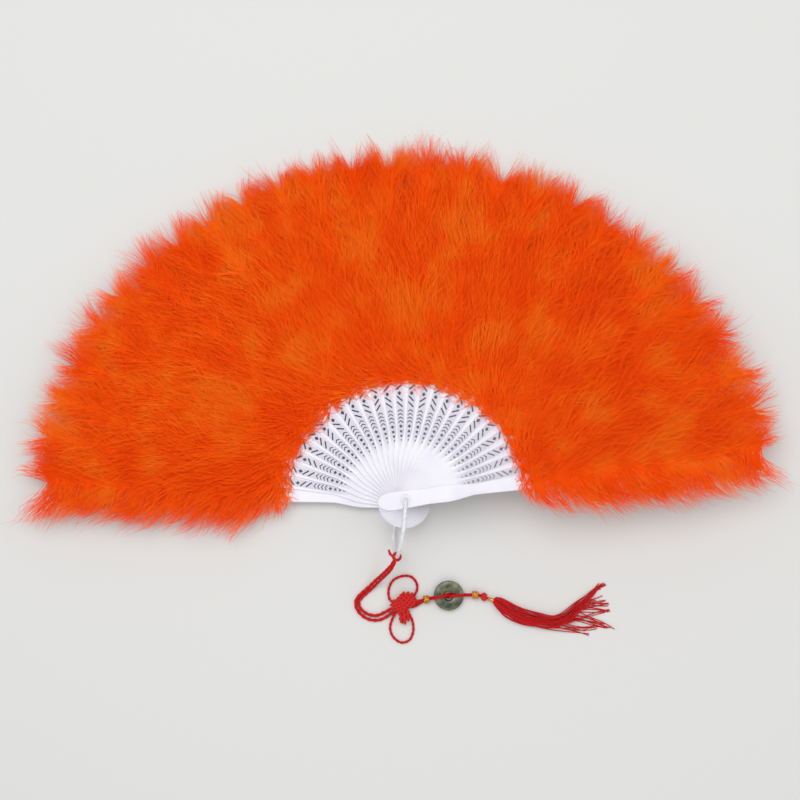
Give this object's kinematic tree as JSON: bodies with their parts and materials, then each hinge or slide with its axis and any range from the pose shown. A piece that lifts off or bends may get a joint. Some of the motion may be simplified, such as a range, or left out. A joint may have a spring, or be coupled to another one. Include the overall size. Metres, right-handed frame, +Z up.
{
  "type": "feather fan",
  "caption": "Open folding fan with pierced white plastic sticks, a soft orange feather on each stick, a hang loop and a red tassel with a stone disc.",
  "frame": {"origin": "on the table, under the middle of the open fan's footprint, tassel left out", "axes": "+Z up from the table, +Y from the pivot towards the top of the open fan, +X towards the front guard's side"},
  "size_m": [0.4924, 0.3258, 0.0454],
  "materials": {
    "white_plastic": "smooth, slightly glossy moulded plastic",
    "clear_plastic": "milky clear twisted plastic",
    "orange_feather": "fluffy dyed feather",
    "red_cord": "braided cord and silky thread",
    "gold_metal": "bright beaded gold-coloured metal",
    "green_stone": "polished mottled green stone"
  },
  "bodies": {
    "back_guard": {"back_guard": "white_plastic", "plume_00": "orange_feather", "pivot_tube": "white_plastic"},
    "rib_01": {"rib_01": "white_plastic"},
    "rib_02": {"rib_02": "white_plastic", "plume_02": "orange_feather"},
    "rib_03": {"rib_03": "white_plastic", "plume_03": "orange_feather"},
    "rib_04": {"rib_04": "white_plastic", "plume_04": "orange_feather"},
    "rib_05": {"rib_05": "white_plastic", "plume_05": "orange_feather"},
    "rib_06": {"rib_06": "white_plastic", "plume_06": "orange_feather"},
    "rib_07": {"rib_07": "white_plastic", "plume_07": "orange_feather"},
    "rib_08": {"rib_08": "white_plastic", "plume_08": "orange_feather"},
    "rib_09": {"rib_09": "white_plastic", "plume_09": "orange_feather"},
    "rib_10": {"rib_10": "white_plastic", "plume_10": "orange_feather"},
    "rib_11": {"rib_11": "white_plastic", "plume_11": "orange_feather"},
    "rib_12": {"rib_12": "white_plastic", "plume_12": "orange_feather"},
    "rib_13": {"rib_13": "white_plastic", "plume_13": "orange_feather"},
    "rib_14": {"rib_14": "white_plastic", "plume_14": "orange_feather"},
    "rib_15": {"rib_15": "white_plastic", "plume_15": "orange_feather"},
    "rib_16": {"rib_16": "white_plastic", "plume_16": "orange_feather"},
    "rib_17": {"rib_17": "white_plastic", "plume_17": "orange_feather"},
    "rib_18": {"rib_18": "white_plastic", "plume_18": "orange_feather"},
    "rib_19": {"rib_19": "white_plastic", "plume_19": "orange_feather"},
    "rib_20": {"rib_20": "white_plastic", "plume_20": "orange_feather"},
    "rib_21": {"rib_21": "white_plastic", "plume_21": "orange_feather"},
    "rib_22": {"rib_22": "white_plastic", "plume_22": "orange_feather"},
    "rib_23": {"rib_23": "white_plastic", "plume_23": "orange_feather"},
    "rib_24": {"rib_24": "white_plastic", "plume_24": "orange_feather"},
    "rib_25": {"rib_25": "white_plastic"},
    "front_guard": {"front_guard": "white_plastic", "plume_26": "orange_feather"},
    "hang_loop": {"hang_loop": "clear_plastic"},
    "tassel": {"tassel_cord": "red_cord", "bead_upper": "gold_metal", "jade_disc": "green_stone", "bead_lower": "gold_metal", "ferrule": "gold_metal", "tassel_skirt": "red_cord"}
  },
  "joints": [
    {"name": "fold", "type": "hinge", "parent": "back_guard", "child": "front_guard", "pos_m": [0.00002, -0.09852, 0.00312], "axis": [0.0446, 0.094, 0.9946], "range_deg": [0, 168]},
    {"name": "rib_01_turn", "type": "hinge", "parent": "back_guard", "child": "rib_01", "pos_m": [0.00002, -0.09852, 0.00312], "axis": [0.0446, 0.094, 0.9946], "range_deg": [0, 6.47]},
    {"name": "rib_02_turn", "type": "hinge", "parent": "back_guard", "child": "rib_02", "pos_m": [0.00002, -0.09852, 0.00312], "axis": [0.0446, 0.094, 0.9946], "range_deg": [0, 12.93]},
    {"name": "rib_03_turn", "type": "hinge", "parent": "back_guard", "child": "rib_03", "pos_m": [0.00002, -0.09852, 0.00312], "axis": [0.0446, 0.094, 0.9946], "range_deg": [0, 19.39]},
    {"name": "rib_04_turn", "type": "hinge", "parent": "back_guard", "child": "rib_04", "pos_m": [0.00002, -0.09852, 0.00312], "axis": [0.0446, 0.094, 0.9946], "range_deg": [0, 25.86]},
    {"name": "rib_05_turn", "type": "hinge", "parent": "back_guard", "child": "rib_05", "pos_m": [0.00002, -0.09852, 0.00312], "axis": [0.0446, 0.094, 0.9946], "range_deg": [0, 32.32]},
    {"name": "rib_06_turn", "type": "hinge", "parent": "back_guard", "child": "rib_06", "pos_m": [0.00002, -0.09852, 0.00312], "axis": [0.0446, 0.094, 0.9946], "range_deg": [0, 38.78]},
    {"name": "rib_07_turn", "type": "hinge", "parent": "back_guard", "child": "rib_07", "pos_m": [0.00002, -0.09852, 0.00312], "axis": [0.0446, 0.094, 0.9946], "range_deg": [0, 45.24]},
    {"name": "rib_08_turn", "type": "hinge", "parent": "back_guard", "child": "rib_08", "pos_m": [0.00002, -0.09852, 0.00312], "axis": [0.0446, 0.094, 0.9946], "range_deg": [0, 51.7]},
    {"name": "rib_09_turn", "type": "hinge", "parent": "back_guard", "child": "rib_09", "pos_m": [0.00002, -0.09852, 0.00312], "axis": [0.0446, 0.094, 0.9946], "range_deg": [0, 58.16]},
    {"name": "rib_10_turn", "type": "hinge", "parent": "back_guard", "child": "rib_10", "pos_m": [0.00002, -0.09852, 0.00312], "axis": [0.0446, 0.094, 0.9946], "range_deg": [0, 64.63]},
    {"name": "rib_11_turn", "type": "hinge", "parent": "back_guard", "child": "rib_11", "pos_m": [0.00002, -0.09852, 0.00312], "axis": [0.0446, 0.094, 0.9946], "range_deg": [0, 71.09]},
    {"name": "rib_12_turn", "type": "hinge", "parent": "back_guard", "child": "rib_12", "pos_m": [0.00002, -0.09852, 0.00312], "axis": [0.0446, 0.094, 0.9946], "range_deg": [0, 77.55]},
    {"name": "rib_13_turn", "type": "hinge", "parent": "back_guard", "child": "rib_13", "pos_m": [0.00002, -0.09852, 0.00312], "axis": [0.0446, 0.094, 0.9946], "range_deg": [0, 84.01]},
    {"name": "rib_14_turn", "type": "hinge", "parent": "back_guard", "child": "rib_14", "pos_m": [0.00002, -0.09852, 0.00312], "axis": [0.0446, 0.094, 0.9946], "range_deg": [0, 90.47]},
    {"name": "rib_15_turn", "type": "hinge", "parent": "back_guard", "child": "rib_15", "pos_m": [0.00002, -0.09852, 0.00312], "axis": [0.0446, 0.094, 0.9946], "range_deg": [0, 96.93]},
    {"name": "rib_16_turn", "type": "hinge", "parent": "back_guard", "child": "rib_16", "pos_m": [0.00002, -0.09852, 0.00312], "axis": [0.0446, 0.094, 0.9946], "range_deg": [0, 103.39]},
    {"name": "rib_17_turn", "type": "hinge", "parent": "back_guard", "child": "rib_17", "pos_m": [0.00002, -0.09852, 0.00312], "axis": [0.0446, 0.094, 0.9946], "range_deg": [0, 109.86]},
    {"name": "rib_18_turn", "type": "hinge", "parent": "back_guard", "child": "rib_18", "pos_m": [0.00002, -0.09852, 0.00312], "axis": [0.0446, 0.094, 0.9946], "range_deg": [0, 116.32]},
    {"name": "rib_19_turn", "type": "hinge", "parent": "back_guard", "child": "rib_19", "pos_m": [0.00002, -0.09852, 0.00312], "axis": [0.0446, 0.094, 0.9946], "range_deg": [0, 122.78]},
    {"name": "rib_20_turn", "type": "hinge", "parent": "back_guard", "child": "rib_20", "pos_m": [0.00002, -0.09852, 0.00312], "axis": [0.0446, 0.094, 0.9946], "range_deg": [0, 129.24]},
    {"name": "rib_21_turn", "type": "hinge", "parent": "back_guard", "child": "rib_21", "pos_m": [0.00002, -0.09852, 0.00312], "axis": [0.0446, 0.094, 0.9946], "range_deg": [0, 135.7]},
    {"name": "rib_22_turn", "type": "hinge", "parent": "back_guard", "child": "rib_22", "pos_m": [0.00002, -0.09852, 0.00312], "axis": [0.0446, 0.094, 0.9946], "range_deg": [0, 142.16]},
    {"name": "rib_23_turn", "type": "hinge", "parent": "back_guard", "child": "rib_23", "pos_m": [0.00002, -0.09852, 0.00312], "axis": [0.0446, 0.094, 0.9946], "range_deg": [0, 148.63]},
    {"name": "rib_24_turn", "type": "hinge", "parent": "back_guard", "child": "rib_24", "pos_m": [0.00002, -0.09852, 0.00312], "axis": [0.0446, 0.094, 0.9946], "range_deg": [0, 155.09]},
    {"name": "rib_25_turn", "type": "hinge", "parent": "back_guard", "child": "rib_25", "pos_m": [0.00002, -0.09852, 0.00312], "axis": [0.0446, 0.094, 0.9946], "range_deg": [0, 161.55]},
    {"name": "loop_swing", "type": "hinge", "parent": "back_guard", "child": "hang_loop", "pos_m": [0.00002, -0.09852, 0.00312], "axis": [0.0446, 0.094, 0.9946], "range_deg": [-45, 12]},
    {"name": "tassel_swing", "type": "hinge", "parent": "hang_loop", "child": "tassel", "pos_m": [-0.00386, -0.13289, 0.02289], "axis": [0, 0, 1], "range_deg": [-60, 40]}
  ],
  "couplings": [
    {"joint": "rib_01_turn", "follows": "fold", "ratio": 0.038462},
    {"joint": "rib_02_turn", "follows": "fold", "ratio": 0.076923},
    {"joint": "rib_03_turn", "follows": "fold", "ratio": 0.11539},
    {"joint": "rib_04_turn", "follows": "fold", "ratio": 0.15385},
    {"joint": "rib_05_turn", "follows": "fold", "ratio": 0.19231},
    {"joint": "rib_06_turn", "follows": "fold", "ratio": 0.23077},
    {"joint": "rib_07_turn", "follows": "fold", "ratio": 0.26923},
    {"joint": "rib_08_turn", "follows": "fold", "ratio": 0.30769},
    {"joint": "rib_09_turn", "follows": "fold", "ratio": 0.34615},
    {"joint": "rib_10_turn", "follows": "fold", "ratio": 0.38461},
    {"joint": "rib_11_turn", "follows": "fold", "ratio": 0.42308},
    {"joint": "rib_12_turn", "follows": "fold", "ratio": 0.46154},
    {"joint": "rib_13_turn", "follows": "fold", "ratio": 0.5},
    {"joint": "rib_14_turn", "follows": "fold", "ratio": 0.53846},
    {"joint": "rib_15_turn", "follows": "fold", "ratio": 0.57692},
    {"joint": "rib_16_turn", "follows": "fold", "ratio": 0.61538},
    {"joint": "rib_17_turn", "follows": "fold", "ratio": 0.65385},
    {"joint": "rib_18_turn", "follows": "fold", "ratio": 0.69231},
    {"joint": "rib_19_turn", "follows": "fold", "ratio": 0.73077},
    {"joint": "rib_20_turn", "follows": "fold", "ratio": 0.76923},
    {"joint": "rib_21_turn", "follows": "fold", "ratio": 0.80769},
    {"joint": "rib_22_turn", "follows": "fold", "ratio": 0.84615},
    {"joint": "rib_23_turn", "follows": "fold", "ratio": 0.88462},
    {"joint": "rib_24_turn", "follows": "fold", "ratio": 0.92308},
    {"joint": "rib_25_turn", "follows": "fold", "ratio": 0.96154}
  ]
}
